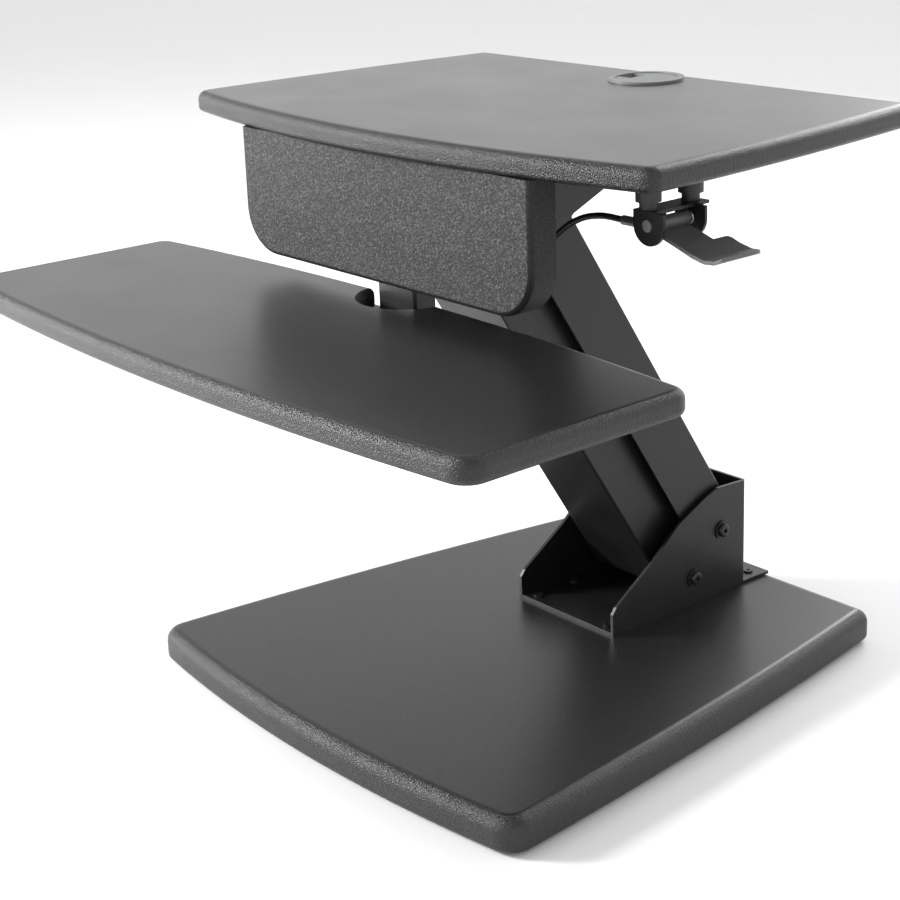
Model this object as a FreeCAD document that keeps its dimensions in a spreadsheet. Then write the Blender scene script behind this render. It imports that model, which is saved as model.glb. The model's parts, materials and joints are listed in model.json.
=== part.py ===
"""Standing desk converter: a base board, a gas-sprung parallelogram column, a work deck and a keyboard tray.

Frame: millimetres, +Z up, the desk surface is Z = 0, the user sits on the -Y side and X runs across.
Model state: raised. The two arms are parallel links, so the deck stays level while it swings down and forward.
"""
import FreeCAD, Part
import math
import os

import Sketcher

DIMENSIONS = {
    # boards
    "foot_height": 2.0, "foot_radius": 15.0,
    "base_thick": 30.0, "base_rear_half": 183.0, "base_knee_half": 215.3, "base_front_half": 249.0,
    "base_rear_y": 315.5, "base_knee_y": 117.0, "base_front_y": -189.0, "base_bow_y": -210.0,
    "base_corner": 22.0, "base_rear_corner": 12.0, "base_top_round": 12.0, "base_low_round": 6.0,
    "deck_top_z": 520.0, "deck_thick": 19.0, "deck_rear_half": 262.6, "deck_knee_half": 283.6,
    "deck_front_half": 291.0, "deck_rear_y": 248.1, "deck_knee_y": 67.0, "deck_front_y": -82.0,
    "deck_bow_y": -116.0, "deck_corner": 13.0, "deck_rear_corner": 8.0, "deck_top_round": 8.0,
    "deck_low_round": 5.0,
    "tray_top_z": 375.0, "tray_thick": 20.0, "tray_rear_half": 341.0, "tray_front_half": 345.5,
    "tray_rear_y": -94.0, "tray_rear_bow_y": -72.0, "tray_front_y": -304.0, "tray_bow_y": -324.0,
    "tray_corner": 20.0, "tray_rear_corner": 16.0, "tray_top_round": 8.0, "tray_low_round": 6.0,
    "notch_radius": 45.0, "notch_y": -71.0,
    # cable grommet in the deck
    "grommet_y": 209.0, "grommet_hole": 30.0, "grommet_flange": 34.0, "grommet_rise": 2.2,
    "grommet_tube": 29.8, "grommet_bore": 27.8, "grommet_depth": 17.0, "cap_radius": 27.5, "cap_thick": 3.0,
    "cap_rise": 1.6, "cap_slot": 20.0,
    # front panel and its brackets
    "panel_half": 187.0, "panel_front_y": -103.0, "panel_thick": 26.0, "panel_low_z": 391.0,
    "panel_corner": 40.0, "panel_round": 5.0, "panel_slot_deep": 7.5,
    "angle_x": 130.0, "angle_width": 30.0, "angle_leg": 28.0,
    # folded steel
    "sheet": 3.0, "thin_sheet": 2.0, "bend": 4.0,
    "column_half": 63.0,
    "bracket_front_y": 99.7, "bracket_rear_y": 277.3, "bracket_flange_y": 310.5, "bracket_tall": 105.8,
    # the parallelogram: pivots on the base, arm length and lean
    "low_pivot_y": 206.0, "low_pivot_z": 58.7, "high_pivot_y": 243.4, "high_pivot_z": 96.5,
    "arm_length": 400.0, "arm_lean": 57.5,
    "rear_arm_half": 57.5, "rear_arm_web": 25.5, "rear_arm_lip": 30.0,
    "front_arm_half": 44.8, "front_arm_web": 22.5, "front_arm_lip": 28.0, "arm_sheet": 2.5,
    "arm_end": 14.0,
    "axle_radius": 6.0, "axle_play": 0.05, "axle_bore": 3.1, "axle_bore_deep": 16.0,
    "washer_radius": 9.0, "washer_thick": 1.6, "bolt_head_radius": 6.5, "bolt_head_tall": 3.6,
    "bolt_shank": 3.0, "bolt_reach": 14.0, "hex_half": 2.3, "bush_radius": 8.0, "side_gap": 0.2,
    # head bracket under the deck
    "head_rear_y": 192.0, "head_front_y": -61.0, "head_tail_y": 58.3, "head_tail_z": 431.8,
    "head_nose_z": 474.0, "head_nose_y": -30.0, "head_boss": 22.0,
    # tray hanger
    "hanger_half": 24.3, "hanger_front_y": -84.5, "hanger_deep": 22.0, "hanger_flange": 52.0,
    "plate_half": 110.0, "plate_front_y": -232.0, "plate_rear_y": -62.5,
    # release lever
    "post_x": 225.0, "post_front_y": -18.4, "post_rear_y": 27.0, "post_radius": 8.6, "post_neck": 7.0,
    "post_collar": 29.0, "lever_plate": 2.5, "cheek_half": 15.5, "pin_x": 232.0, "pin_z": 461.0,
    "cheek_front_y": -26.0, "cheek_rear_y": 21.0, "lever_top_width": 21.0, "pin_radius": 3.0, "barrel_radius": 5.5,
    "paddle_thick": 3.0, "strap_front_y": -20.0, "strap_rear_y": 15.0, "pad_front_y": -18.0,
    "pad_rear_y": 32.0, "pad_length": 40.0,
    # release cable
    "cable_radius": 2.6, "adjuster_y": -1.0, "adjuster_z": 454.0, "adjuster_end_x": 181.1,
    "stop_y": 8.0, "stop_z": 414.0, "stop_face_x": 71.6,
    # gas spring, on the diagonal of the parallelogram
    "tube_radius": 11.0, "tube_wall": 2.0, "tube_start": 17.0, "tube_end": 290.0, "rod_radius": 5.0,
    "rod_inner_end": 150.0, "eye_radius": 13.0, "eye_width": 24.0, "open_eye": 10.8, "open_eye_outer": 15.0,
    "piston_radius": 8.8,
    # wood and sheet screws
    "screw_head": 4.5, "screw_head_tall": 1.8, "screw_shank": 2.0, "screw_hole": 2.3, "screw_reach": 14.0,
}

doc = FreeCAD.newDocument("standing_desk_converter")
sheet = doc.addObject("Spreadsheet::Sheet", "Dims")
for row, (alias, number) in enumerate(DIMENSIONS.items(), start=1):
    sheet.set(f"A{row}", alias)
    sheet.set(f"B{row}", str(number))
    sheet.setAlias(f"B{row}", alias)
doc.recompute()

PARTS = {}
X_AXIS = FreeCAD.Vector(1, 0, 0)
Y_AXIS = FreeCAD.Vector(0, 1, 0)
Z_AXIS = FreeCAD.Vector(0, 0, 1)


def dim(alias):
    """The value of a cell of the sheet."""
    return float(sheet.get(alias))


def vec(x, y, z):
    return FreeCAD.Vector(x, y, z)


def number_of(term):
    """A coordinate given as a number, as an alias or as a minus sign and an alias."""
    if isinstance(term, (int, float)):
        return float(term)
    return -dim(term[1:]) if term.startswith("-") else dim(term)


def expression_of(term):
    return "-Dims." + term[1:] if term.startswith("-") else "Dims." + term


def keep(node, item):
    """Registers an object of the document as a sub-part and labels it with its node name."""
    item.Label = node
    PARTS[node] = item
    return item


# ---- sketched bodies -------------------------------------------------------------------------------------


def plane_of(body, role):
    """The body's own origin plane with this role."""
    return next(item for item in body.Origin.OriginFeatures if item.Role == role)


def new_body(name):
    return doc.addObject("PartDesign::Body", name)


def new_sketch(body, name, role):
    sketch = body.newObject("Sketcher::SketchObject", name)
    sketch.AttachmentSupport = [(plane_of(body, role), "")]
    sketch.MapMode = "FlatFace"
    return sketch


def tie(sketch, kind, index, end, term):
    """Holds one coordinate of a vertex, from the sheet where the term is an alias."""
    row = sketch.addConstraint(Sketcher.Constraint(kind, index, end, number_of(term)))
    if isinstance(term, str):
        sketch.setExpression(f"Constraints[{row}]", expression_of(term))


def draw_outline(sketch, corners, bows=None):
    """A closed outline through corners; bows gives, by the edge's number, the point its arc passes."""
    bows = bows or {}
    count = len(corners)
    points = [vec(number_of(a), number_of(b), 0) for a, b in corners]
    starts = []
    ends = []
    for i in range(count):
        here, there = points[i], points[(i + 1) % count]
        if i in bows:
            middle = vec(number_of(bows[i][0]), number_of(bows[i][1]), 0)
            arc = Part.ArcOfCircle(here, middle, there)
            edge = sketch.addGeometry(arc)
            forward = (arc.StartPoint - here).Length < 1e-6
            sketch.addConstraint(Sketcher.Constraint("Radius", edge, arc.Radius))
        else:
            edge = sketch.addGeometry(Part.LineSegment(here, there))
            forward = True
        starts.append((edge, 1 if forward else 2))
        ends.append((edge, 2 if forward else 1))
    for i in range(count):
        following = starts[(i + 1) % count]
        sketch.addConstraint(Sketcher.Constraint("Coincident", ends[i][0], ends[i][1], *following))
    for (edge, end), (a, b) in zip(starts, corners):
        tie(sketch, "DistanceX", edge, end, a)
        tie(sketch, "DistanceY", edge, end, b)


def draw_circle(sketch, a, b, radius):
    """A circle whose centre and radius come from the sheet."""
    edge = sketch.addGeometry(Part.Circle(vec(number_of(a), number_of(b), 0), Z_AXIS, number_of(radius)))
    row = sketch.addConstraint(Sketcher.Constraint("Radius", edge, number_of(radius)))
    if isinstance(radius, str):
        sketch.setExpression(f"Constraints[{row}]", expression_of(radius))
    tie(sketch, "DistanceX", edge, 3, a)
    tie(sketch, "DistanceY", edge, 3, b)


def pad(body, sketch, name, length, midplane=False, reverse=False):
    feature = body.newObject("PartDesign::Pad", name)
    feature.Profile = sketch
    feature.setExpression("Length", length)
    feature.Midplane = midplane
    feature.Reversed = reverse
    doc.recompute()
    return feature


def pocket(body, sketch, name, length):
    """A pocket cut to both sides of its sketch plane."""
    feature = body.newObject("PartDesign::Pocket", name)
    feature.Profile = sketch
    feature.setExpression("Length", length)
    feature.Midplane = True
    before = body.Shape.Volume
    doc.recompute()
    if body.Shape.Volume > before - 1:
        raise ValueError(name + " cuts nothing")
    return feature


def round_edges(body, name, radius, wanted):
    """A fillet on the edges of the body's tip that the test wanted() picks."""
    base = body.Tip
    names = [f"Edge{i}" for i, edge in enumerate(base.Shape.Edges, start=1) if wanted(edge)]
    feature = body.newObject("PartDesign::Fillet", name)
    feature.Base = (base, names)
    feature.setExpression("Radius", radius)
    doc.recompute()
    return feature


def upright(edge, x_low, x_high, y_low, y_high):
    """True for a vertical edge that stands inside this range of |x| and y."""
    first, last = edge.Vertexes[0].Point, edge.Vertexes[-1].Point
    vertical = math.hypot(first.x - last.x, first.y - last.y) < 1e-6 and abs(first.z - last.z) > 1
    return vertical and x_low <= abs(first.x) <= x_high and y_low <= first.y <= y_high


def level(edge, z):
    """True for an edge that lies wholly at height z."""
    box = edge.BoundBox
    return abs(box.ZMin - z) < 1e-4 and abs(box.ZMax - z) < 1e-4


# ---- solids from primitives ------------------------------------------------------------------------------


def bind(item, name, size):
    """Sets a size from an expression on the sheet, or from a number worked out here."""
    if isinstance(size, str):
        item.setExpression(name, size)
    else:
        setattr(item, name, size)


def cylinder(name, radius, length, foot, axis):
    """A Part::Cylinder from its foot along axis."""
    item = doc.addObject("Part::Cylinder", name)
    bind(item, "Radius", radius)
    bind(item, "Height", length)
    item.Placement = FreeCAD.Placement(foot, FreeCAD.Rotation(Z_AXIS, axis))
    return item


def block(name, length, width, height, corner):
    """A Part::Box from its lowest corner."""
    item = doc.addObject("Part::Box", name)
    bind(item, "Length", length)
    bind(item, "Width", width)
    bind(item, "Height", height)
    item.Placement.Base = corner
    return item


def fuse(name, items):
    item = doc.addObject("Part::MultiFuse", name)
    item.Shapes = items
    doc.recompute()
    return item


def cut(name, base, tools):
    """base less all the tools, which are fused first when there are several."""
    item = doc.addObject("Part::Cut", name)
    item.Base = base
    item.Tool = tools[0] if len(tools) == 1 else fuse(name + "_tools", tools)
    doc.recompute()
    return item


def group(name, items):
    """Identical pieces kept as separate solids of one node."""
    item = doc.addObject("Part::Compound", name)
    item.Links = items
    doc.recompute()
    return item


def hex_prism(name, centre, axis, depth):
    """The hexagonal key socket of a screw."""
    item = doc.addObject("Part::Prism", name)
    item.Polygon = 6
    item.setExpression("Circumradius", "Dims.hex_half")
    item.Height = depth
    item.Placement = FreeCAD.Placement(centre, FreeCAD.Rotation(Z_AXIS, axis))
    return item


# ---- places worked out from the driving dimensions -------------------------------------------------------

BASE_TOP = dim("foot_height") + dim("base_thick")
DECK_UNDER = dim("deck_top_z") - dim("deck_thick")
TRAY_UNDER = dim("tray_top_z") - dim("tray_thick")
LEAN = math.radians(dim("arm_lean"))
ARM = vec(0, -math.cos(LEAN), math.sin(LEAN))
LOW_PIVOT = vec(0, dim("low_pivot_y"), dim("low_pivot_z"))
HIGH_PIVOT = vec(0, dim("high_pivot_y"), dim("high_pivot_z"))
HEAD_LOW = LOW_PIVOT + ARM * dim("arm_length")
HEAD_HIGH = HIGH_PIVOT + ARM * dim("arm_length")
SPRING_LINE = HEAD_HIGH - LOW_PIVOT
SPRING_LENGTH = SPRING_LINE.Length
HOLE = "Dims.axle_radius + Dims.axle_play"


# ---- boards ----------------------------------------------------------------------------------------------


def bowed_board(node, prefix, z_low):
    """A board with a bowed front, gently bowed sides and a narrower straight rear edge."""
    body = new_body(node)
    sketch = new_sketch(body, node + "_outline", "XY_Plane")
    rear, knee, front = prefix + "_rear", prefix + "_knee", prefix + "_front"
    corners = [(rear + "_half", rear + "_y"), ("-" + rear + "_half", rear + "_y"),
               ("-" + front + "_half", front + "_y"), (front + "_half", front + "_y")]
    bows = {1: ("-" + knee + "_half", knee + "_y"), 2: (0, prefix + "_bow_y"), 3: (knee + "_half", knee + "_y")}
    draw_outline(sketch, corners, bows)
    pad(body, sketch, node + "_pad", f"Dims.{prefix}_thick")
    thick = dim(prefix + "_thick")
    rear_y, front_y = dim(rear + "_y"), dim(front + "_y")
    round_edges(body, node + "_fronts", f"Dims.{prefix}_corner",
                lambda e: upright(e, 1, 999, front_y - 1, front_y + 1))
    round_edges(body, node + "_rears", f"Dims.{prefix}_rear_corner",
                lambda e: upright(e, 1, 999, rear_y - 1, rear_y + 1))
    round_edges(body, node + "_top", f"Dims.{prefix}_top_round", lambda e: level(e, thick))
    round_edges(body, node + "_low", f"Dims.{prefix}_low_round", lambda e: level(e, 0))
    body.Placement.Base = vec(0, 0, z_low)
    return body


def base_board():
    keep("base_board", bowed_board("base_board", "base", dim("foot_height")))


def base_feet():
    """Six soft pads, stuck under the base board."""
    places = [(150, 280), (-150, 280), (185, 40), (-185, 40), (205, -160), (-205, -160)]
    feet = [cylinder(f"foot_{i}", "Dims.foot_radius", "Dims.foot_height", vec(x, y, 0), Z_AXIS)
            for i, (x, y) in enumerate(places)]
    keep("base_feet", group("base_feet", feet))


def deck_board():
    """The work surface, with the grommet's hole near its rear edge."""
    body = bowed_board("deck_plank", "deck", DECK_UNDER)
    hole = cylinder("deck_hole", "Dims.grommet_hole", "Dims.deck_thick + 20",
                    vec(0, dim("grommet_y"), DECK_UNDER - 10), Z_AXIS)
    keep("deck_board", cut("deck_board", body, [hole]))


def keyboard_tray():
    """The lower shelf, bowed at the front and rear, with a half-round notch for the hanger."""
    body = new_body("keyboard_tray")
    sketch = new_sketch(body, "tray_outline", "XY_Plane")
    corners = [("tray_rear_half", "tray_rear_y"), ("-tray_rear_half", "tray_rear_y"),
               ("-tray_front_half", "tray_front_y"), ("tray_front_half", "tray_front_y")]
    draw_outline(sketch, corners, {0: (0, "tray_rear_bow_y"), 2: (0, "tray_bow_y")})
    pad(body, sketch, "tray_pad", "Dims.tray_thick")
    thick, rear_y, front_y = dim("tray_thick"), dim("tray_rear_y"), dim("tray_front_y")
    round_edges(body, "tray_fronts", "Dims.tray_corner", lambda e: upright(e, 1, 999, front_y - 1, front_y + 1))
    round_edges(body, "tray_rears", "Dims.tray_rear_corner", lambda e: upright(e, 1, 999, rear_y - 1, rear_y + 1))
    round_edges(body, "tray_top", "Dims.tray_top_round", lambda e: level(e, thick))
    round_edges(body, "tray_low", "Dims.tray_low_round", lambda e: level(e, 0))
    hole = new_sketch(body, "notch_circle", "XY_Plane")
    draw_circle(hole, 0, "notch_y", "notch_radius")
    pocket(body, hole, "tray_notch", "Dims.tray_thick * 4")
    body.Placement.Base = vec(0, 0, TRAY_UNDER)
    keep("keyboard_tray", body)


# ---- grommet ---------------------------------------------------------------------------------------------


def grommet():
    """A flanged plastic ring in the deck and a cap that turns in it to open a cable slot."""
    centre_y, top = dim("grommet_y"), dim("deck_top_z")
    flange = cylinder("ring_flange", "Dims.grommet_flange", "Dims.grommet_rise", vec(0, centre_y, top), Z_AXIS)
    tube = cylinder("ring_tube", "Dims.grommet_tube", "Dims.grommet_depth",
                    vec(0, centre_y, top - dim("grommet_depth")), Z_AXIS)
    bore = cylinder("ring_bore", "Dims.grommet_bore", "Dims.grommet_depth * 3",
                    vec(0, centre_y, top - 2 * dim("grommet_depth")), Z_AXIS)
    lip = cylinder("ring_lip", "Dims.grommet_tube", "Dims.thin_sheet", vec(0, centre_y, top - 8), Z_AXIS)
    lip_bore = cylinder("lip_bore", "Dims.cap_slot + 4", "Dims.thin_sheet * 3", vec(0, centre_y, top - 10), Z_AXIS)
    shell = cut("ring_shell", fuse("ring_solid", [flange, tube]), [bore])
    ledge = cut("ring_ledge", lip, [lip_bore])
    keep("grommet_ring", fuse("grommet_ring", [shell, ledge]))
    cap = cylinder("cap_disc", "Dims.cap_radius", "Dims.cap_thick",
                   vec(0, centre_y, top + dim("cap_rise") - dim("cap_thick")), Z_AXIS)
    slot = block("cap_gap", "Dims.cap_slot", "Dims.cap_slot", "Dims.cap_thick * 3",
                 vec(-dim("cap_radius") - 2, centre_y - dim("cap_slot") / 2, top - 6))
    skirt = cylinder("cap_skirt", "Dims.cap_radius", "Dims.cap_thick", vec(0, centre_y, top - 4.4), Z_AXIS)
    skirt_bore = cylinder("cap_skirt_bore", "Dims.cap_radius - Dims.thin_sheet", "Dims.cap_thick * 3",
                          vec(0, centre_y, top - 10.5), Z_AXIS)
    rim = cut("cap_rim", skirt, [skirt_bore])
    keep("grommet_cap", cut("grommet_cap", fuse("cap_solid", [cap, rim]), [slot]))


# ---- folded brackets -------------------------------------------------------------------------------------


def folded_bracket(node, outer, inner, holes, slots=()):
    """Sheet folded into two cheeks: a side profile, less the space between the cheeks and the axle holes."""
    body = new_body(node)
    side = new_sketch(body, node + "_side", "YZ_Plane")
    draw_outline(side, outer)
    pad(body, side, node + "_pad", "Dims.column_half * 2", midplane=True)
    space = new_sketch(body, node + "_space", "YZ_Plane")
    draw_outline(space, inner)
    pocket(body, space, node + "_fold", "(Dims.column_half - Dims.sheet) * 2")
    for i, (y, z) in enumerate(holes):
        ring = new_sketch(body, f"{node}_ring_{i}", "YZ_Plane")
        draw_circle(ring, y, z, dim("axle_radius") + dim("axle_play"))
        pocket(body, ring, f"{node}_bore_{i}", "Dims.column_half * 4")
    for i, (x, y) in enumerate(slots):
        dot = new_sketch(body, f"{node}_dot_{i}", "XY_Plane")
        draw_circle(dot, x, y, "screw_hole")
        pocket(body, dot, f"{node}_screw_{i}", "Dims.deck_top_z * 2.2")
    return body


BASE_SCREWS = [(47.0, 109.0), (-47.0, 109.0), (49.0, 157.5), (-49.0, 157.5), (51.0, 295.0), (-51.0, 295.0)]
HEAD_SCREWS = [(45.0, -45.0), (-45.0, -45.0), (45.0, 70.0), (-45.0, 70.0), (45.0, 170.0), (-45.0, 170.0)]


def base_bracket():
    """The foot of the column: floor, two cheeks, a rear wall and a flange behind it."""
    z0 = BASE_TOP
    steel = dim("sheet")
    rear = dim("bracket_rear_y")
    outer = [("bracket_front_y", z0), ("bracket_flange_y", z0), ("bracket_flange_y", z0 + steel),
             ("bracket_rear_y", z0 + steel), ("bracket_rear_y", z0 + dim("bracket_tall")),
             (238.0, z0 + 107.5), (222.0, z0 + 102.5), (185.6, z0 + 85.2), (154.0, z0 + 59.6),
             (104.5, z0 + 27.0), ("bracket_front_y", z0 + 21.0)]
    inner = [(60.0, z0 + steel), (rear - steel, z0 + steel), (rear - steel, z0 + 160.0), (60.0, z0 + 160.0)]
    holes = [(LOW_PIVOT.y, LOW_PIVOT.z), (HIGH_PIVOT.y, HIGH_PIVOT.z)]
    body = folded_bracket("base_bracket", outer, inner, holes, BASE_SCREWS)
    round_edges(body, "base_bracket_bend", "Dims.bend",
                lambda e: upright(e, dim("column_half") - 0.1, 99, rear - 0.1, rear + 0.1))
    keep("base_bracket", body)


def head_bracket():
    """The head of the column: a top plate under the deck and two cheeks that carry the upper axles."""
    z1 = DECK_UNDER
    steel = dim("sheet")
    boss = [(HEAD_LOW.y + dim("head_boss") * math.cos(math.radians(a)),
             HEAD_LOW.z + dim("head_boss") * math.sin(math.radians(a))) for a in (-52, -82, -112, -142, -172)]
    outer = [("head_rear_y", z1), ("head_rear_y", z1 - 12.0), ("head_tail_y", "head_tail_z")] + boss
    outer += [("head_nose_y", 415.0), ("head_front_y", "head_nose_z"), ("head_front_y", z1)]
    inner = [(-90.0, 330.0), (230.0, 330.0), (230.0, z1 - steel), (-90.0, z1 - steel)]
    holes = [(HEAD_LOW.y, HEAD_LOW.z), (HEAD_HIGH.y, HEAD_HIGH.z)]
    keep("head_bracket", folded_bracket("head_bracket", outer, inner, holes, HEAD_SCREWS))


# ---- arms ------------------------------------------------------------------------------------------------


def channel_arm(node, half, web, outer, inner, pivot):
    """A U channel: the side profile in the arm's own frame (pivot at 0, Y along the arm) less its inside."""
    body = new_body(node)
    side = new_sketch(body, node + "_side", "YZ_Plane")
    draw_outline(side, outer)
    pad(body, side, node + "_pad", f"Dims.{half} * 2", midplane=True)
    space = new_sketch(body, node + "_space", "YZ_Plane")
    draw_outline(space, inner)
    pocket(body, space, node + "_fold", f"(Dims.{half} - Dims.arm_sheet) * 2")
    for i, along in enumerate((0.0, "arm_length")):
        ring = new_sketch(body, f"{node}_ring_{i}", "YZ_Plane")
        draw_circle(ring, along, 0.0, dim("axle_radius") + dim("axle_play"))
        pocket(body, ring, f"{node}_bore_{i}", "Dims.column_half * 4")
    side_x, web_z = dim(half), number_of(web)

    def on_bend(edge):
        first, last = edge.Vertexes[0].Point, edge.Vertexes[-1].Point
        inside = abs(abs(first.x) - side_x) < 1e-4 and abs(abs(last.x) - side_x) < 1e-4
        return inside and abs(first.z - web_z) < 1e-4 and abs(last.z - web_z) < 1e-4 and edge.Length > 50

    round_edges(body, node + "_bends", "Dims.arm_sheet - 0.2", on_bend)
    body.Placement = FreeCAD.Placement(pivot, FreeCAD.Rotation(X_AXIS, 180 - dim("arm_lean")))
    return body


def rear_arm():
    """The upper, wider link. Its web is on the rear face, so it covers the spring from behind."""
    end, lip, far = dim("arm_end"), dim("rear_arm_lip"), dim("arm_length")
    web = dim("rear_arm_web")
    outer = [(-end, -web), (far + end, -web), (far + end, lip - 12.0), (far + end - 10.0, lip),
             (-end + 10.0, lip), (-end, lip - 12.0)]
    inner = [(-60.0, dim("arm_sheet") - web), (far + 60.0, dim("arm_sheet") - web),
             (far + 60.0, lip + 20.0), (-60.0, lip + 20.0)]
    keep("rear_arm", channel_arm("rear_arm", "rear_arm_half", "-rear_arm_web", outer, inner, HIGH_PIVOT))


def front_arm():
    """The lower, narrower link, nested in the rear arm. Its web is on the front and under side."""
    end, lip, far = dim("arm_end"), dim("front_arm_lip"), dim("arm_length")
    web = dim("front_arm_web")
    outer = [(4.0, web), (-end + 2.0, 8.0), (-end, -14.0), (-6.0, -lip), (far + 4.0, -lip),
             (far + end, -14.0), (far + end, 8.0), (far + 4.0, web)]
    inner = [(-60.0, web - dim("arm_sheet")), (-60.0, -lip - 20.0), (far + 60.0, -lip - 20.0),
             (far + 60.0, web - dim("arm_sheet"))]
    keep("front_arm", channel_arm("front_arm", "front_arm_half", "front_arm_web", outer, inner, LOW_PIVOT))


def drilled_ring(name, outer, length, foot):
    """A washer or bush along X with a running hole for an axle."""
    ring = cylinder(name + "_disc", outer, length, foot, X_AXIS)
    hole = cylinder(name + "_hole", HOLE, length + " + 4", foot - X_AXIS * 2, X_AXIS)
    return cut(name, ring, [hole])


def arm_bushes():
    """Nylon spacers that keep each arm central: long ones on the front arm, thin ones on the rear arm."""
    gap = dim("side_gap")
    inner_face = dim("column_half") - dim("sheet")
    for node, half, radius, pivots in (("front_arm_bushes", "front_arm_half", "bush_radius", (LOW_PIVOT, HEAD_LOW)),
                                       ("rear_arm_bushes", "rear_arm_half", "washer_radius",
                                        (HIGH_PIVOT, HEAD_HIGH))):
        length = f"Dims.column_half - Dims.sheet - Dims.{half} - Dims.side_gap"
        rings = []
        for i, pivot in enumerate(pivots):
            rings.append(drilled_ring(f"{node}_{i}_right", f"Dims.{radius}", length, pivot + X_AXIS * dim(half)))
            rings.append(drilled_ring(f"{node}_{i}_left", f"Dims.{radius}", length,
                                      pivot - X_AXIS * (inner_face - gap)))
        keep(node, group(node, rings))


# ---- axles, washers and bolts ----------------------------------------------------------------------------


def axle(node, pivot):
    """A round bar across the bracket, drilled and tapped at both ends."""
    half = dim("column_half")
    deep = dim("axle_bore_deep")
    bar = cylinder(node + "_bar", "Dims.axle_radius", "Dims.column_half * 2", pivot - X_AXIS * half, X_AXIS)
    bores = [cylinder(f"{node}_tap_{i}", "Dims.axle_bore", "Dims.axle_bore_deep + 1", foot, X_AXIS)
             for i, foot in enumerate((pivot - X_AXIS * (half + 1), pivot + X_AXIS * (half - deep)))]
    keep(node, cut(node, bar, bores))


def pivot_hardware(prefix, pivots):
    """A washer and a button-head bolt on each end of each axle."""
    half, thick = dim("column_half"), dim("washer_thick")
    washers = []
    bolts = []
    for i, pivot in enumerate(pivots):
        for side, word in ((1, "right"), (-1, "left")):
            name = f"{prefix}_{i}_{word}"
            out = X_AXIS * side
            seat = pivot + out * half
            disc = cylinder(name + "_disc", "Dims.washer_radius", "Dims.washer_thick", seat, out)
            hole = cylinder(name + "_hole", "Dims.axle_bore", "Dims.washer_thick + 4", seat - out * 2, out)
            washers.append(cut(name + "_washer", disc, [hole]))
            face = seat + out * thick
            head = cylinder(name + "_head", "Dims.bolt_head_radius", "Dims.bolt_head_tall", face, out)
            shank = cylinder(name + "_shank", "Dims.bolt_shank", "Dims.bolt_reach + 1", face - out * dim("bolt_reach"),
                             out)
            solid = fuse(name + "_solid", [head, shank])
            dome = doc.addObject("Part::Fillet", name + "_dome")
            dome.Base = solid
            top = [i + 1 for i, edge in enumerate(solid.Shape.Edges)
                   if abs(abs(edge.BoundBox.Center.x) - (half + thick + dim("bolt_head_tall"))) < 1e-3]
            dome.Edges = [(number, 2.4, 2.4) for number in top]
            doc.recompute()
            key = hex_prism(name + "_key", face + out * (dim("bolt_head_tall") - 2.2), out, 6.0)
            bolts.append(cut(name + "_bolt", dome, [key]))
    keep(prefix + "_washers", group(prefix + "_washers", washers))
    keep(prefix + "_bolts", group(prefix + "_bolts", bolts))


def screws(node, places, out, head_from):
    """Pan-head screws: each head stands on head_from and its shank runs into the board."""
    items = []
    for i, place in enumerate(places):
        foot = vec(*place) + out * head_from
        head = cylinder(f"{node}_{i}_head", "Dims.screw_head", "Dims.screw_head_tall", foot, out)
        shank = cylinder(f"{node}_{i}_shank", "Dims.screw_shank", "Dims.screw_reach + 0.5",
                         foot - out * dim("screw_reach"), out)
        key = hex_prism(f"{node}_{i}_key", foot + out * (dim("screw_head_tall") - 1.1), out, 4.0)
        key.setExpression("Circumradius", "Dims.hex_half * 0.8")
        items.append(cut(f"{node}_{i}", fuse(f"{node}_{i}_solid", [head, shank]), [key]))
    keep(node, group(node, items))


# ---- front panel and tray hanger -------------------------------------------------------------------------


def front_panel():
    """The padded modesty panel under the deck's front edge, with a slot behind for the hanger."""
    body = new_body("front_panel")
    sketch = new_sketch(body, "panel_face", "XZ_Plane")
    z1 = DECK_UNDER - 0.3
    corners = [("-panel_half", z1), ("-panel_half", "panel_low_z"), ("panel_half", "panel_low_z"),
               ("panel_half", z1)]
    draw_outline(sketch, corners)
    pad(body, sketch, "panel_pad", "Dims.panel_thick")
    low = dim("panel_low_z")

    def low_corner(edge):
        box = edge.BoundBox
        return box.YLength > 5 and box.ZLength < 1e-4 and abs(box.ZMin - low) < 1e-4 and box.XLength < 1e-4

    round_edges(body, "panel_corners", "Dims.panel_corner", low_corner)
    front = body.Shape.BoundBox.YMin

    def front_rim(edge):
        box = edge.BoundBox
        return abs(box.YMin - front) < 1e-4 and abs(box.YMax - front) < 1e-4 and box.ZMin < z1 - 1

    round_edges(body, "panel_rim", "Dims.panel_round", front_rim)
    rear_y = dim("panel_front_y") + dim("panel_thick")
    body.Placement.Base = vec(0, dim("panel_front_y") - front, 0)
    slot = block("panel_slot", "Dims.hanger_half * 2 + 1", "Dims.panel_slot_deep + 5", "Dims.deck_top_z",
                 vec(-dim("hanger_half") - 0.5, rear_y - dim("panel_slot_deep"), 300.0))
    keep("front_panel", cut("front_panel", body, [slot]))


def panel_angles():
    """Two steel angles that screw the panel to the underside of the deck."""
    items = []
    back = dim("panel_front_y") + dim("panel_thick")
    for i, side in enumerate((1, -1)):
        x0 = side * dim("angle_x") - dim("angle_width") / 2
        down = block(f"angle_{i}_down", "Dims.angle_width", "Dims.sheet", "Dims.angle_leg",
                     vec(x0, back, DECK_UNDER - dim("angle_leg")))
        along = block(f"angle_{i}_along", "Dims.angle_width", "Dims.angle_leg", "Dims.sheet",
                      vec(x0, back, DECK_UNDER - dim("sheet")))
        items.append(fuse(f"angle_{i}", [down, along]))
    keep("panel_angles", group("panel_angles", items))


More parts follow.
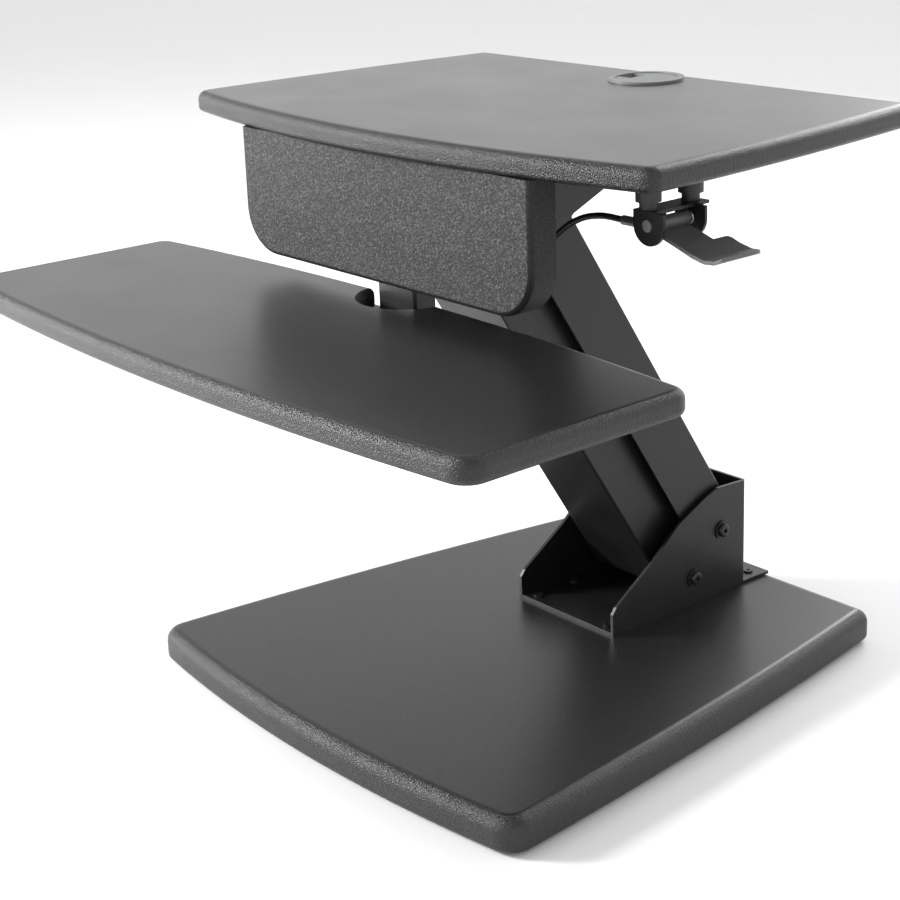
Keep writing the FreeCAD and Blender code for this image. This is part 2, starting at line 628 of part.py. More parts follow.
def tray_hanger():
    """A folded box section that drops from the deck, through the tray's notch, to the plate under the tray."""
    x0, y0, low = -dim("hanger_half"), dim("hanger_front_y"), TRAY_UNDER - dim("sheet")
    box = block("hanger_box", "Dims.hanger_half * 2", "Dims.hanger_deep", DECK_UNDER - low, vec(x0, y0, low))
    inside = block("hanger_inside", "(Dims.hanger_half - Dims.thin_sheet) * 2", "Dims.hanger_deep",
                   "Dims.deck_top_z", vec(x0 + dim("thin_sheet"), y0 + dim("thin_sheet"), low - 50))
    doc.recompute()
    tube = cut("hanger_tube", box, [inside])
    rounded = doc.addObject("Part::Fillet", "hanger_rounded")
    rounded.Base = tube
    corners = [i + 1 for i, edge in enumerate(tube.Shape.Edges)
               if edge.BoundBox.ZLength > 50 and abs(edge.BoundBox.YMin - y0) < 1e-3]
    rounded.Edges = [(number, 3.0, 3.0) for number in corners]
    flange_x = dim("hanger_flange")
    flange = block("hanger_flange_plate", "Dims.hanger_flange * 2", "Dims.hanger_deep - 8", "Dims.thin_sheet",
                   vec(-flange_x, y0 + 8.0, DECK_UNDER - dim("thin_sheet")))
    solid = fuse("hanger_solid", [rounded, flange])
    holes = [cylinder(f"hanger_hole_{i}", "Dims.screw_hole", "Dims.screw_reach",
                      vec(side * 40.0, y0 + 15.0, DECK_UNDER - 8), Z_AXIS) for i, side in enumerate((1, -1))]
    keep("tray_hanger", cut("tray_hanger", solid, holes))


def tray_plate():
    """The flat steel plate under the tray, welded to the foot of the hanger."""
    plate = block("tray_plate_flat", "Dims.plate_half * 2", "Dims.plate_rear_y - Dims.plate_front_y", "Dims.sheet",
                  vec(-dim("plate_half"), dim("plate_front_y"), TRAY_UNDER - dim("sheet")))
    x0, y0 = -dim("hanger_half"), dim("hanger_front_y")
    slot = block("tray_plate_slot", "Dims.hanger_half * 2", "Dims.hanger_deep + 4", "Dims.sheet * 4",
                 vec(x0, y0, TRAY_UNDER - 8))
    holes = [cylinder(f"tray_plate_hole_{i}", "Dims.screw_hole", "Dims.screw_reach",
                      vec(x, y, TRAY_UNDER - 8), Z_AXIS) for i, (x, y) in enumerate(TRAY_SCREWS)]
    keep("tray_plate", cut("tray_plate", plate, [slot] + holes))


TRAY_SCREWS = [(90.0, -215.0), (-90.0, -215.0), (90.0, -120.0), (-90.0, -120.0)]


# ---- release lever ---------------------------------------------------------------------------------------


def lever_posts():
    """Two stepped plastic spacers between the deck and the lever's bracket."""
    items = []
    for i, y in enumerate((dim("post_front_y"), dim("post_rear_y"))):
        top = vec(dim("post_x"), y, DECK_UNDER)
        collar = cylinder(f"post_{i}_collar", "Dims.post_radius + 1.2", "Dims.post_collar * 0.8",
                          top - Z_AXIS * dim("post_collar") * 0.8, Z_AXIS)
        neck = cylinder(f"post_{i}_neck", "Dims.post_neck", "Dims.post_collar",
                        top - Z_AXIS * dim("post_collar"), Z_AXIS)
        hole = cylinder(f"post_{i}_hole", "Dims.screw_hole", "Dims.post_collar + 10",
                        top - Z_AXIS * (dim("post_collar") + 5), Z_AXIS)
        items.append(cut(f"post_{i}", fuse(f"post_{i}_solid", [collar, neck]), [hole]))
    keep("lever_posts", group("lever_posts", items))


def lever_bracket():
    """A U bracket under the posts, with two half-round cheeks that hold the lever's pin."""
    top_z = DECK_UNDER - dim("post_collar")
    t = dim("lever_plate")
    x0 = dim("pin_x") - dim("cheek_half")
    front, rear = dim("cheek_front_y"), dim("cheek_rear_y")
    plate = block("lever_top", "Dims.lever_top_width", "Dims.post_rear_y - Dims.cheek_front_y + Dims.post_neck",
                  "Dims.lever_plate", vec(x0, front, top_z - t))
    parts = [plate]
    for i, y in enumerate((front, rear - t)):
        web = block(f"lever_cheek_{i}", "Dims.cheek_half * 2", "Dims.lever_plate", top_z - dim("pin_z") - 1.0,
                    vec(x0, y, dim("pin_z")))
        disc = cylinder(f"lever_round_{i}", "Dims.cheek_half", "Dims.lever_plate", vec(dim("pin_x"), y, dim("pin_z")),
                        Y_AXIS)
        parts += [web, disc]
    lug = block("lever_lug", "Dims.lever_plate", "Dims.cheek_half", top_z - dim("adjuster_z") + 5.0,
                vec(x0, dim("adjuster_y") - dim("cheek_half") / 2, dim("adjuster_z") - 6.0))
    bore = cylinder("lever_bore", "Dims.pin_radius + 0.05", "Dims.cheek_rear_y * 4",
                    vec(dim("pin_x"), front - 20, dim("pin_z")), Y_AXIS)
    cable = cylinder("lug_bore", "Dims.cable_radius + 0.6", "Dims.lever_plate + 8",
                     vec(x0 - 4, dim("adjuster_y"), dim("adjuster_z")), X_AXIS)
    holes = [cylinder(f"lever_hole_{i}", "Dims.screw_hole", "Dims.lever_plate + 8",
                      vec(dim("post_x"), y, top_z - t - 4), Z_AXIS)
             for i, y in enumerate((dim("post_front_y"), dim("post_rear_y")))]
    above = block("lever_above", "Dims.cheek_half * 2 + 4", "Dims.cheek_rear_y * 4", "Dims.cheek_half",
                  vec(x0 - 2, front - 20, top_z))
    keep("lever_bracket", cut("lever_bracket", fuse("lever_frame", parts + [lug]), [bore, cable, above] + holes))


def lever_pin():
    """The riveted pin across the lever's bracket."""
    front, rear = dim("cheek_front_y"), dim("cheek_rear_y")
    foot = vec(dim("pin_x"), front - 1.6, dim("pin_z"))
    shaft = cylinder("pin_shaft", "Dims.pin_radius", "Dims.cheek_rear_y - Dims.cheek_front_y + 3.2", foot, Y_AXIS)
    heads = [cylinder(f"pin_head_{i}", "Dims.pin_radius + 1.6", "Dims.thin_sheet * 0.8",
                      vec(dim("pin_x"), y, dim("pin_z")), Y_AXIS) for i, y in enumerate((front - 1.6, rear))]
    keep("lever_pin", fuse("lever_pin", [shaft] + heads))


def release_lever():
    """The paddle: a barrel on the pin and a strap that dips in an S and widens into a finger pad."""
    x, z, t = dim("pin_x"), dim("pin_z"), dim("paddle_thick")
    line = [(x - 1, z - 3.4), (x + 14, z - 8.5), (x + 26, z - 12.4), (x + 38, z - 16.6), (x + 50, z - 19.2),
            (x + 60, z - 18.4), (x + 67, z - 15.2)]
    under = [(a, b - t) for a, b in reversed(line)]
    parts = []
    for name, first, low, high in (("strap", 0, "strap_front_y", "strap_rear_y"),
                                   ("pad", 2, "pad_front_y", "pad_rear_y")):
        body = new_body("lever_" + name)
        side = new_sketch(body, f"lever_{name}_side", "XZ_Plane")
        draw_outline(side, line[first:] + under[:len(line) - first])
        pad(body, side, f"lever_{name}_pad", f"Dims.{high} - Dims.{low}", reverse=True)
        body.Placement.Base = vec(0, dim(low) - body.Shape.BoundBox.YMin, 0)
        parts.append(body)
    plan = block("pad_plan_block", "Dims.pad_length", "Dims.pad_rear_y - Dims.pad_front_y", "Dims.panel_thick * 2",
                 vec(x + 67 - dim("pad_length"), dim("pad_front_y"), z - 45))
    doc.recompute()
    rounded = doc.addObject("Part::Fillet", "pad_plan")
    rounded.Base = plan
    rounded.Edges = [(i + 1, radius, radius) for i, edge in enumerate(plan.Shape.Edges)
                     for at_x, radius in ((x + 67, 16.0), (x + 67 - dim("pad_length"), 4.0))
                     if edge.BoundBox.ZLength > 40 and abs(edge.BoundBox.XMin - at_x) < 1e-3]
    pad_shape = doc.addObject("Part::Common", "lever_pad_rounded")
    pad_shape.Base = parts.pop()
    pad_shape.Tool = rounded
    parts.append(pad_shape)
    barrel = cylinder("lever_barrel", "Dims.barrel_radius", "Dims.strap_rear_y - Dims.strap_front_y",
                      vec(x, dim("strap_front_y"), z), Y_AXIS)
    bore = cylinder("lever_barrel_bore", "Dims.pin_radius + 0.05", "Dims.cheek_rear_y * 4", vec(x, -50.0, z), Y_AXIS)
    keep("release_lever", cut("release_lever", fuse("lever_solid", parts + [barrel]), [bore]))


def lever_spring():
    """The torsion spring that holds the paddle down, as a closed sleeve of coils round the pin."""
    foot = vec(dim("pin_x"), dim("strap_rear_y") + 0.3, dim("pin_z"))
    coil = cylinder("coil_outer", "Dims.barrel_radius + 0.4", "Dims.thin_sheet", foot, Y_AXIS)
    bore = cylinder("coil_bore", "Dims.pin_radius + 0.3", "Dims.thin_sheet * 3", foot - Y_AXIS * 2, Y_AXIS)
    keep("lever_spring", cut("lever_spring", coil, [bore]))


# ---- release cable ---------------------------------------------------------------------------------------


def cable_adjuster():
    """The threaded barrel and lock nut where the cable leaves the lever's bracket."""
    face = dim("pin_x") - dim("cheek_half")
    y, z, end = dim("adjuster_y"), dim("adjuster_z"), dim("adjuster_end_x")
    nut = cylinder("adjuster_nut", "Dims.cable_radius * 2.5", "Dims.lever_plate * 2", vec(face, y, z), -X_AXIS)
    cone = doc.addObject("Part::Cone", "adjuster_cone")
    cone.Radius1 = 5.6
    cone.Radius2 = 3.8
    cone.Height = 13.0
    cone.Placement = FreeCAD.Placement(vec(face - 5, y, z), FreeCAD.Rotation(Z_AXIS, -X_AXIS))
    tail = cylinder("adjuster_tail", "Dims.cable_radius + 1.2", face - 17 - end, vec(end, y, z), X_AXIS)
    keep("cable_adjuster", fuse("cable_adjuster", [nut, cone, tail]))


CABLE_ROUTE = [(181.0, -1.0, 454.0), (160.0, -1.0, 454.5), (137.0, 1.0, 450.0), (115.0, 4.0, 440.0),
               (95.0, 7.0, 426.0), (73.0, 8.0, 414.0)]


def rounded_path(points):
    """Straight runs joined by tangent arcs, each as large as its two runs allow."""
    points = [vec(*p) for p in points]
    edges = []
    start = points[0]
    radii = []
    for before, corner, after in zip(points, points[1:], points[2:]):
        way_in, way_out = (corner - before).normalize(), (after - corner).normalize()
        reach = 0.45 * min((corner - before).Length, (after - corner).Length)
        turn = way_in.getAngle(way_out)
        radii.append(reach / math.tan(turn / 2))
        first, last = corner - way_in * reach, corner + way_out * reach
        chord = (first + last) * 0.5
        inward = (chord - corner).normalize()
        centre_gap = radii[-1] / math.cos(turn / 2)
        middle = corner + inward * (centre_gap - radii[-1])
        edges.append(Part.LineSegment(start, first).toShape())
        edges.append(Part.Arc(first, middle, last).toShape())
        start = last
    edges.append(Part.LineSegment(start, points[-1]).toShape())
    return Part.Wire(edges), radii


def release_cable():
    """The cable's outer sheath, held between the adjuster and the stop on the head bracket."""
    path, radii = rounded_path(CABLE_ROUTE)
    print("release_cable radii", [round(r) for r in radii])
    start = vec(*CABLE_ROUTE[0])
    heading = vec(*CABLE_ROUTE[1]) - start
    ring = Part.Wire([Part.Circle(start, heading, dim("cable_radius")).toShape()])
    item = doc.addObject("Part::Feature", "release_cable")
    item.Shape = path.makePipeShell([ring], True, False)
    section = math.pi * dim("cable_radius") ** 2
    print("release_cable volume ratio", round(item.Shape.Volume / (section * path.Length), 4),
          "length", round(path.Length, 1))
    keep("release_cable", item)


def cable_stop():
    """A lug on the right cheek of the head bracket that the sheath ends in."""
    cheek = dim("column_half")
    y, z = dim("stop_y"), dim("stop_z")
    lug = block("stop_block", "Dims.stop_face_x - Dims.column_half", "Dims.cheek_half", "Dims.cheek_half",
                vec(cheek, y - dim("cheek_half") / 2, z - dim("cheek_half") / 2))
    keep("cable_stop", lug)


# ---- gas spring ------------------------------------------------------------------------------------------


def along_spring(distance):
    return LOW_PIVOT + SPRING_LINE * (distance / SPRING_LENGTH)


def ring_across(name, outer, inner, width, centre):
    """An eye: a short sleeve along X round an axle."""
    half = width / 2
    sleeve = cylinder(name + "_sleeve", outer, f"{width}", centre - X_AXIS * half, X_AXIS)
    hole = cylinder(name + "_hole", inner, f"{width} + 4", centre - X_AXIS * (half + 2), X_AXIS)
    return sleeve, hole


def gas_spring():
    """A lockable gas spring: foot eye, tube, gland, rod, piston and the release head with its wide eye."""
    width = dim("eye_width")
    way = SPRING_LINE
    tube = cylinder("spring_tube_solid", "Dims.tube_radius", "Dims.tube_end - Dims.tube_start",
                    along_spring(dim("tube_start")), way)
    hollow = cylinder("spring_tube_bore", "Dims.tube_radius - Dims.tube_wall", "Dims.tube_end - Dims.tube_start",
                      along_spring(dim("tube_start") + 4), way)
    keep("gas_spring_tube", cut("gas_spring_tube", tube, [hollow]))
    foot, foot_hole = ring_across("foot_eye", "Dims.eye_radius", HOLE, width, LOW_PIVOT)
    neck = cylinder("foot_neck", "Dims.tube_radius - 3", "Dims.tube_start", LOW_PIVOT, way)
    keep("gas_spring_foot", cut("gas_spring_foot", fuse("foot_solid", [foot, neck]), [foot_hole]))
    gland = cylinder("gland_solid", "Dims.tube_radius - Dims.tube_wall - 0.05", "Dims.eye_radius",
                     along_spring(dim("tube_end") - dim("eye_radius")), way)
    gland_bore = cylinder("gland_bore", "Dims.rod_radius + 0.05", "Dims.eye_radius + 8",
                          along_spring(dim("tube_end") - dim("eye_radius") - 4), way)
    keep("gas_spring_gland", cut("gas_spring_gland", gland, [gland_bore]))
    rod_end = SPRING_LENGTH - dim("open_eye_outer") + 1
    rod = cylinder("gas_spring_rod", "Dims.rod_radius", rod_end - dim("rod_inner_end"),
                   along_spring(dim("rod_inner_end")), way)
    head, head_hole = ring_across("head_eye", "Dims.open_eye_outer", "Dims.open_eye", width, HEAD_HIGH)
    socket = cylinder("head_socket", "Dims.rod_radius + 4", "Dims.tube_start + 6", along_spring(rod_end - 22), way)
    rod_seat = cylinder("head_rod_seat", "Dims.rod_radius + 0.02", "Dims.tube_start + 14",
                        along_spring(rod_end - 31), way)
    keep("gas_spring_rod", rod)
    keep("gas_spring_head", cut("gas_spring_head", fuse("head_solid", [head, socket]), [head_hole, rod_seat]))
    piston = cylinder("piston_disc", "Dims.piston_radius", "Dims.eye_radius", along_spring(dim("rod_inner_end") + 8),
                      way)
    piston_bore = cylinder("piston_bore", "Dims.rod_radius + 0.02", "Dims.eye_radius + 8",
                           along_spring(dim("rod_inner_end") + 4), way)
    keep("gas_spring_piston", cut("gas_spring_piston", piston, [piston_bore]))


# ---- assembly --------------------------------------------------------------------------------------------


def build_all():
    base_board()
    base_feet()
    base_bracket()
    screws("base_screws", [(x, y, BASE_TOP) for x, y in BASE_SCREWS], Z_AXIS, dim("sheet"))
    axle("base_low_axle", LOW_PIVOT)
    axle("base_high_axle", HIGH_PIVOT)
    pivot_hardware("base_pivot", (LOW_PIVOT, HIGH_PIVOT))
    front_arm()
    rear_arm()
    arm_bushes()
    head_bracket()
    screws("head_screws", [(x, y, DECK_UNDER) for x, y in HEAD_SCREWS], -Z_AXIS, dim("sheet"))
    axle("head_low_axle", HEAD_LOW)
    axle("head_high_axle", HEAD_HIGH)
    pivot_hardware("head_pivot", (HEAD_LOW, HEAD_HIGH))
    deck_board()
    grommet()
    front_panel()
    panel_angles()
    tray_hanger()
    hanger_y = dim("hanger_front_y") + 15.0
    screws("hanger_screws", [(40.0, hanger_y, DECK_UNDER), (-40.0, hanger_y, DECK_UNDER)], -Z_AXIS,
           dim("thin_sheet"))
    tray_plate()
    keyboard_tray()
    screws("tray_screws", [(x, y, TRAY_UNDER) for x, y in TRAY_SCREWS], -Z_AXIS, dim("sheet"))
    lever_posts()
    lever_bracket()
    lever_pin()
    release_lever()
    lever_spring()
    lever_drop = dim("post_collar") + dim("lever_plate")
    screws("lever_screws", [(dim("post_x"), dim(y), DECK_UNDER) for y in ("post_front_y", "post_rear_y")], -Z_AXIS,
           lever_drop)
    cable_adjuster()
    release_cable()
    cable_stop()
    gas_spring()


def check_document():
    """Stops if any object of the document failed or any sub-part's shape is missing or invalid."""
    doc.recompute()
    failed = [item.Name for item in doc.Objects if {"Invalid", "Error"} & set(item.State)]
    if failed:
        raise ValueError(f"failed objects: {failed}")
    for node, item in PARTS.items():
        if item.Shape.isNull() or not item.Shape.isValid() or item.Shape.Volume <= 0:
            raise ValueError(f"bad shape: {node}")


def export_all():
    os.makedirs("parts", exist_ok=True)
    for node, item in PARTS.items():
        item.Shape.exportStep(f"parts/{node}.step")
    print(len(PARTS), "nodes written")


build_all()
check_document()
export_all()
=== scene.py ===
"""Looks for the standing desk converter: materials, one detailed piece (the lever's coil spring), light and
camera.
"""
import json
import math

import bmesh
import bpy
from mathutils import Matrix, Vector


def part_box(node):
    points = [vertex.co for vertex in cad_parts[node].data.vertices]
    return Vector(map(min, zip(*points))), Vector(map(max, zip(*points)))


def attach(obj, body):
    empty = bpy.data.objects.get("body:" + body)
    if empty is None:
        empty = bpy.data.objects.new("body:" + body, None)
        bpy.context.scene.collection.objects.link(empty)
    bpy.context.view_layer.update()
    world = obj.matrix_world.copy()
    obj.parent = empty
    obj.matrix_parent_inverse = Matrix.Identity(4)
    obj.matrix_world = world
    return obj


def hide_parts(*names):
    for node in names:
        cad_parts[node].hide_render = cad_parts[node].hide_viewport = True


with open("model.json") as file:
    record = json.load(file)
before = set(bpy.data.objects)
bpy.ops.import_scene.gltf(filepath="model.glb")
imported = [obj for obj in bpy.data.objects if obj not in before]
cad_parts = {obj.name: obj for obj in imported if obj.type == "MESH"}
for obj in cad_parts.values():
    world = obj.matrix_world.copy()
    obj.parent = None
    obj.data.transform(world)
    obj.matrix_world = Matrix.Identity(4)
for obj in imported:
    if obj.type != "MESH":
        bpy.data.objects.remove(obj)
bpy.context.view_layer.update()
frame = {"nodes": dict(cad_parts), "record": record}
NODES = frame["nodes"]
MM = 0.001

FLOOR_REACH = 30.0
SURROUND_STRENGTH = 2.4
EXPOSURE = -0.75
VIEW_PLACE = (1.21713, -1.0329, 0.78298)
VIEW_ANGLES = (52.32, 16.68, -2.49)  # yaw, pitch and roll in degrees
VIEW_SHIFT = (0.06588, -0.09806)
LENS, SENSOR_WIDTH = 77.214, 36.0  # millimetres
CLIP_END = 100.0


# ---- node helpers ----------------------------------------------------------------------------------------


def new_material(name, color, roughness, metallic=0.0, specular=0.5):
    """A principled material; returns it with its node tree and shader."""
    mat = bpy.data.materials.new(name)
    mat.use_nodes = True
    tree = mat.node_tree
    shader = tree.nodes["Principled BSDF"]
    shader.inputs["Base Color"].default_value = (*color, 1.0)
    shader.inputs["Roughness"].default_value = roughness
    shader.inputs["Metallic"].default_value = metallic
    shader.inputs["Specular IOR Level"].default_value = specular
    return mat, tree, shader


def coordinates(tree, scale=(1, 1, 1)):
    """Object coordinates in metres, so the pattern rides with its piece."""
    where = tree.nodes.new("ShaderNodeTexCoord")
    mapping = tree.nodes.new("ShaderNodeMapping")
    mapping.inputs["Scale"].default_value = scale
    tree.links.new(where.outputs["Object"], mapping.inputs["Vector"])
    return mapping.outputs["Vector"]


def noise(tree, vector, scale, detail=4.0, rough=0.55):
    """A noise value from 0 to 1; scale is roughly features per metre."""
    node = tree.nodes.new("ShaderNodeTexNoise")
    node.inputs["Scale"].default_value = scale
    node.inputs["Detail"].default_value = detail
    node.inputs["Roughness"].default_value = rough
    tree.links.new(vector, node.inputs["Vector"])
    return node.outputs["Fac"]


def ramp(tree, factor, low, high, dark, light):
    """Maps factor between two stops to a colour or a grey value."""
    node = tree.nodes.new("ShaderNodeValToRGB")
    first, last = node.color_ramp.elements
    first.position, last.position = low, high
    first.color = (*dark, 1.0) if isinstance(dark, tuple) else (dark, dark, dark, 1.0)
    last.color = (*light, 1.0) if isinstance(light, tuple) else (light, light, light, 1.0)
    tree.links.new(factor, node.inputs["Fac"])
    return node.outputs["Color"]


def maths(tree, operation, a, b):
    """A math node on two sockets or numbers."""
    node = tree.nodes.new("ShaderNodeMath")
    node.operation = operation
    for i, item in enumerate((a, b)):
        if isinstance(item, (int, float)):
            node.inputs[i].default_value = item
        else:
            tree.links.new(item, node.inputs[i])
    return node.outputs["Value"]


def bump(tree, shader, height, strength, distance):
    """Bump from a height socket; strength may be a socket too."""
    node = tree.nodes.new("ShaderNodeBump")
    node.inputs["Distance"].default_value = distance
    if isinstance(strength, (int, float)):
        node.inputs["Strength"].default_value = strength
    else:
        tree.links.new(strength, node.inputs["Strength"])
    tree.links.new(height, node.inputs["Height"])
    tree.links.new(node.outputs["Normal"], shader.inputs["Normal"])


def upward(tree):
    """How far the surface faces straight up or down, from 0 to 1."""
    where = tree.nodes.new("ShaderNodeTexCoord")
    split = tree.nodes.new("ShaderNodeSeparateXYZ")
    tree.links.new(where.outputs["Normal"], split.inputs["Vector"])
    return maths(tree, "ABSOLUTE", split.outputs["Z"], 0.0)


# ---- materials -------------------------------------------------------------------------------------------


def laminate():
    """Black laminate: a fine pebble on the flats and a coarser, sparkling pebble round the edges."""
    mat, tree, shader = new_material("laminate_black", (0.02, 0.02, 0.021), 0.4)
    place = coordinates(tree)
    edge = ramp(tree, upward(tree), 0.93, 0.998, 1.0, 0.0)
    pebble = noise(tree, place, 700.0, 2.0, 0.7)
    fine = noise(tree, place, 1500.0, 2.0)
    cloud = noise(tree, place, 14.0, 3.0)
    height = maths(tree, "ADD", maths(tree, "MULTIPLY", pebble, edge), maths(tree, "MULTIPLY", fine, 0.3))
    strength = maths(tree, "ADD", maths(tree, "MULTIPLY", edge, 0.75), 0.15)
    bump(tree, shader, height, strength, 0.0011)
    tone = ramp(tree, pebble, 0.42, 0.66, (0.007, 0.007, 0.0074), (0.022, 0.022, 0.023))
    tree.links.new(tone, shader.inputs["Base Color"])
    gloss = maths(tree, "ADD", maths(tree, "MULTIPLY", cloud, 0.08), 0.27)
    tree.links.new(gloss, shader.inputs["Roughness"])
    return mat


def powder_coat():
    """Satin black powder coat with a very fine orange peel."""
    mat, tree, shader = new_material("powder_coat_black", (0.014, 0.014, 0.0145), 0.42)
    place = coordinates(tree)
    peel = noise(tree, place, 900.0, 2.0)
    cloud = noise(tree, place, 30.0, 3.0)
    bump(tree, shader, peel, 0.15, 0.0003)
    tone = ramp(tree, cloud, 0.3, 0.75, (0.005, 0.005, 0.0053), (0.009, 0.009, 0.0094))
    tree.links.new(tone, shader.inputs["Base Color"])
    tree.links.new(maths(tree, "ADD", maths(tree, "MULTIPLY", cloud, 0.12), 0.34), shader.inputs["Roughness"])
    return mat


def panel_cover():
    """Front panel: a crushed-pebble face whose light speckles are painted glints (painted highlight on the
    grain), and plain dark sides.
    """
    mat, tree, shader = new_material("panel_cover", (0.05, 0.05, 0.05), 0.6)
    place = coordinates(tree)
    where = tree.nodes.new("ShaderNodeTexCoord")
    split = tree.nodes.new("ShaderNodeSeparateXYZ")
    tree.links.new(where.outputs["Normal"], split.inputs["Vector"])
    # face is 1 on the front-facing side, where the speckle glints are painted brightest, and 0 on the sides
    face = ramp(tree, maths(tree, "MULTIPLY", split.outputs["Y"], -1.0), 0.90, 0.97, 0.0, 1.0)
    grit = noise(tree, place, 560.0, 3.0, 0.75)
    height = maths(tree, "MULTIPLY", grit, maths(tree, "ADD", face, 0.25))
    bump(tree, shader, height, 0.8, 0.0010)
    # painted highlight: the grain's peaks are painted light as glints, in full on the front face and at a
    # tenth on the sides
    glint_spots = ramp(tree, grit, 0.50, 0.68, 0.0, 1.0)
    painted_glint_amount = maths(tree, "MULTIPLY", glint_spots, maths(tree, "ADD", maths(tree, "MULTIPLY", face, 0.9), 0.1))
    tone = ramp(tree, painted_glint_amount, 0.0, 1.0, (0.006, 0.006, 0.0064), (0.10, 0.10, 0.102))
    tree.links.new(tone, shader.inputs["Base Color"])
    tree.links.new(ramp(tree, grit, 0.35, 0.7, 0.7, 0.5), shader.inputs["Roughness"])
    return mat


def plain_finish(name, dark, light, roughness, metallic, grain, depth, stretch=(1, 1, 1)):
    """A moulded, coated or turned surface: a slight change of tone and a fine grain."""
    mat, tree, shader = new_material(name, dark, roughness, metallic)
    place = coordinates(tree, stretch)
    fine = noise(tree, place, grain, 3.0)
    cloud = noise(tree, place, grain / 25.0, 3.0)
    bump(tree, shader, fine, 0.25, depth)
    tree.links.new(ramp(tree, cloud, 0.3, 0.7, dark, light), shader.inputs["Base Color"])
    tree.links.new(maths(tree, "ADD", maths(tree, "MULTIPLY", fine, 0.16), roughness - 0.08),
                   shader.inputs["Roughness"])
    return mat


LAMINATE = laminate()
COAT = powder_coat()
PANEL = panel_cover()
RUBBER = plain_finish("rubber_black", (0.02, 0.02, 0.02), (0.035, 0.035, 0.035), 0.8, 0.0, 700.0, 0.0003)
SCREW = plain_finish("screw_black", (0.02, 0.02, 0.021), (0.045, 0.045, 0.047), 0.35, 0.6, 900.0, 0.0001)
STEEL = plain_finish("steel_bright", (0.42, 0.42, 0.43), (0.6, 0.6, 0.61), 0.32, 1.0, 500.0, 0.0001,
                     (8, 1, 1))
NYLON = plain_finish("nylon_black", (0.03, 0.03, 0.031), (0.05, 0.05, 0.052), 0.5, 0.0, 800.0, 0.0002)
GREY = plain_finish("plastic_grey", (0.13, 0.132, 0.135), (0.17, 0.172, 0.175), 0.42, 0.0, 900.0, 0.0002)
LEVER = plain_finish("lever_grey", (0.085, 0.086, 0.088), (0.115, 0.116, 0.118), 0.4, 0.1, 900.0, 0.0002)
ZINC = plain_finish("zinc_dull", (0.2, 0.2, 0.205), (0.32, 0.32, 0.325), 0.38, 0.8, 600.0, 0.0002)
SHEATH = plain_finish("cable_sheath", (0.012, 0.012, 0.013), (0.02, 0.02, 0.021), 0.35, 0.0, 800.0, 0.0001)
PAINT = plain_finish("spring_paint", (0.02, 0.02, 0.021), (0.03, 0.03, 0.031), 0.3, 0.0, 900.0, 0.0001)

FINISH = {"laminate": LAMINATE, "powder_coat": COAT, "panel_cover": PANEL, "rubber_pad": RUBBER,
          "black_screw": SCREW, "bright_steel": STEEL, "black_plastic": NYLON, "grey_plastic": GREY,
          "lever_metal": LEVER, "zinc": ZINC, "cable_sheath": SHEATH, "spring_paint": PAINT}


def paint_nodes():
    """Gives each CAD node the finish of its material slot."""
    for part in frame["record"]["subparts"]:
        mesh = NODES[part["node"]].data
        mesh.materials.clear()
        mesh.materials.append(FINISH[part["material_slot"]])


# ---- detailed pieces -------------------------------------------------------------------------------------


def mesh_object(name, bm, material, smooth=True):
    """An object from a bmesh, in one material."""
    mesh = bpy.data.meshes.new(name)
    bm.to_mesh(mesh)
    bm.free()
    for face in mesh.polygons:
        face.use_smooth = smooth
    mesh.materials.append(material)
    piece = bpy.data.objects.new(name, mesh)
    bpy.context.collection.objects.link(piece)
    return piece


def torsion_spring():
    """The lever's return spring as real coils, in the space of its sleeve."""
    low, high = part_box("lever_spring")
    centre = [(a + b) / 2 for a, b in zip(low, high)]
    wire, turns, per_turn, around = 0.35 * MM, 3, 28, 8
    radius = (high[0] - low[0]) / 2 - wire
    length = high[1] - low[1] - 2 * wire
    bm = bmesh.new()
    rings = []
    total = turns * per_turn
    for i in range(total + 1):
        angle = 2 * math.pi * i / per_turn
        y = low[1] + wire + length * i / total
        ring = []
        for k in range(around):
            spin = 2 * math.pi * k / around
            r = radius + wire * math.cos(spin)
            ring.append(bm.verts.new((centre[0] + r * math.cos(angle), y + wire * math.sin(spin),
                                      centre[2] + r * math.sin(angle))))
        rings.append(ring)
    for one, two in zip(rings, rings[1:]):
        for k in range(around):
            bm.faces.new((one[k], one[(k + 1) % around], two[(k + 1) % around], two[k]))
    bm.faces.new(list(reversed(rings[0])))
    bm.faces.new(rings[-1])
    bmesh.ops.recalc_face_normals(bm, faces=bm.faces)
    piece = mesh_object("lever_spring_coils", bm, STEEL)
    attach(piece, "lever")
    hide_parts("lever_spring")


# ---- light, floor, camera --------------------------------------------------------------------------------


def floor():
    """A plain pale floor under the object."""
    mat, tree, shader = new_material("floor_pale", (0.93, 0.93, 0.93), 0.6, specular=0.2)
    tone = ramp(tree, noise(tree, coordinates(tree), 6.0), 0.3, 0.7, 0.925, 0.935)
    tree.links.new(tone, shader.inputs["Base Color"])
    bm = bmesh.new()
    bmesh.ops.create_grid(bm, x_segments=1, y_segments=1, size=FLOOR_REACH)
    plane = mesh_object("floor", bm, mat, smooth=False)


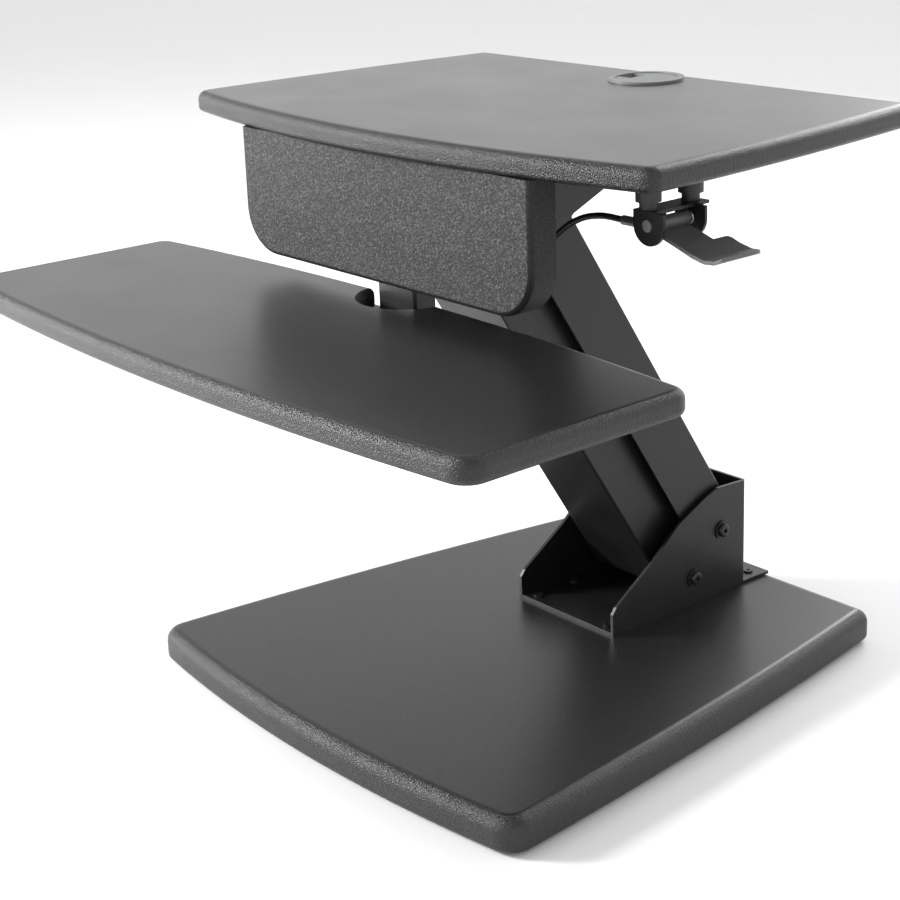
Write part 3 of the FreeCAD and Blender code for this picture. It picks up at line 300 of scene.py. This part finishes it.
def area_light(name, place, target, size, power):
    """A square lamp at place that faces target; size in metres, power in watts."""
    data = bpy.data.lights.new(name, "AREA")
    data.size = size
    data.energy = power
    lamp = bpy.data.objects.new(name, data)
    bpy.context.collection.objects.link(lamp)
    lamp.location = place
    lamp.rotation_euler = (Vector(target) - Vector(place)).to_track_quat("-Z", "Y").to_euler()


def world_light():
    """A white surround, brighter near the horizon than overhead."""
    world = bpy.data.worlds.new("studio")
    world.use_nodes = True
    tree = world.node_tree
    shader = tree.nodes["Background"]
    where = tree.nodes.new("ShaderNodeTexCoord")
    split = tree.nodes.new("ShaderNodeSeparateXYZ")
    tree.links.new(where.outputs["Generated"], split.inputs["Vector"])
    glow = ramp(tree, split.outputs["Z"], 0.1, 0.6, 1.0, 0.5)
    tree.links.new(glow, shader.inputs["Color"])
    shader.inputs["Strength"].default_value = SURROUND_STRENGTH
    bpy.context.scene.world = world


def lights():
    """The surround, a key lamp at the user's left front, and a rim lamp behind."""
    world_light()
    area_light("key_front_left", (-2.0, -2.0, 1.3), (0, -0.1, 0.35), 0.7, 230.0)
    area_light("rim_behind", (-0.6, 2.4, 1.5), (0, 0.1, 0.4), 1.2, 60.0)
    bpy.context.scene.view_settings.view_transform = "Standard"
    bpy.context.scene.view_settings.exposure = EXPOSURE


def camera():
    """The main view: from the user's right, a little above the deck."""
    yaw, pitch, roll = (math.radians(angle) for angle in VIEW_ANGLES)
    forward = Vector((-math.sin(yaw) * math.cos(pitch), math.cos(yaw) * math.cos(pitch), -math.sin(pitch)))
    right = Vector((math.cos(yaw), math.sin(yaw), 0.0))
    up = right.cross(forward)
    tilted_right = right * math.cos(roll) + up * math.sin(roll)
    tilted_up = up * math.cos(roll) - right * math.sin(roll)
    data = bpy.data.cameras.new("camera")
    data.sensor_width = SENSOR_WIDTH
    data.lens = LENS
    data.shift_x, data.shift_y = VIEW_SHIFT
    data.clip_end = CLIP_END
    view = bpy.data.objects.new("camera", data)
    bpy.context.collection.objects.link(view)
    view.location = VIEW_PLACE
    axes = (tilted_right, tilted_up, -forward)
    rotation = view.rotation_euler.to_matrix()
    for column, axis in enumerate(axes):
        for row in range(3):
            rotation[row][column] = axis[row]
    view.rotation_euler = rotation.to_euler()
    bpy.context.scene.camera = view


camera()
paint_nodes()
torsion_spring()
floor()
lights()
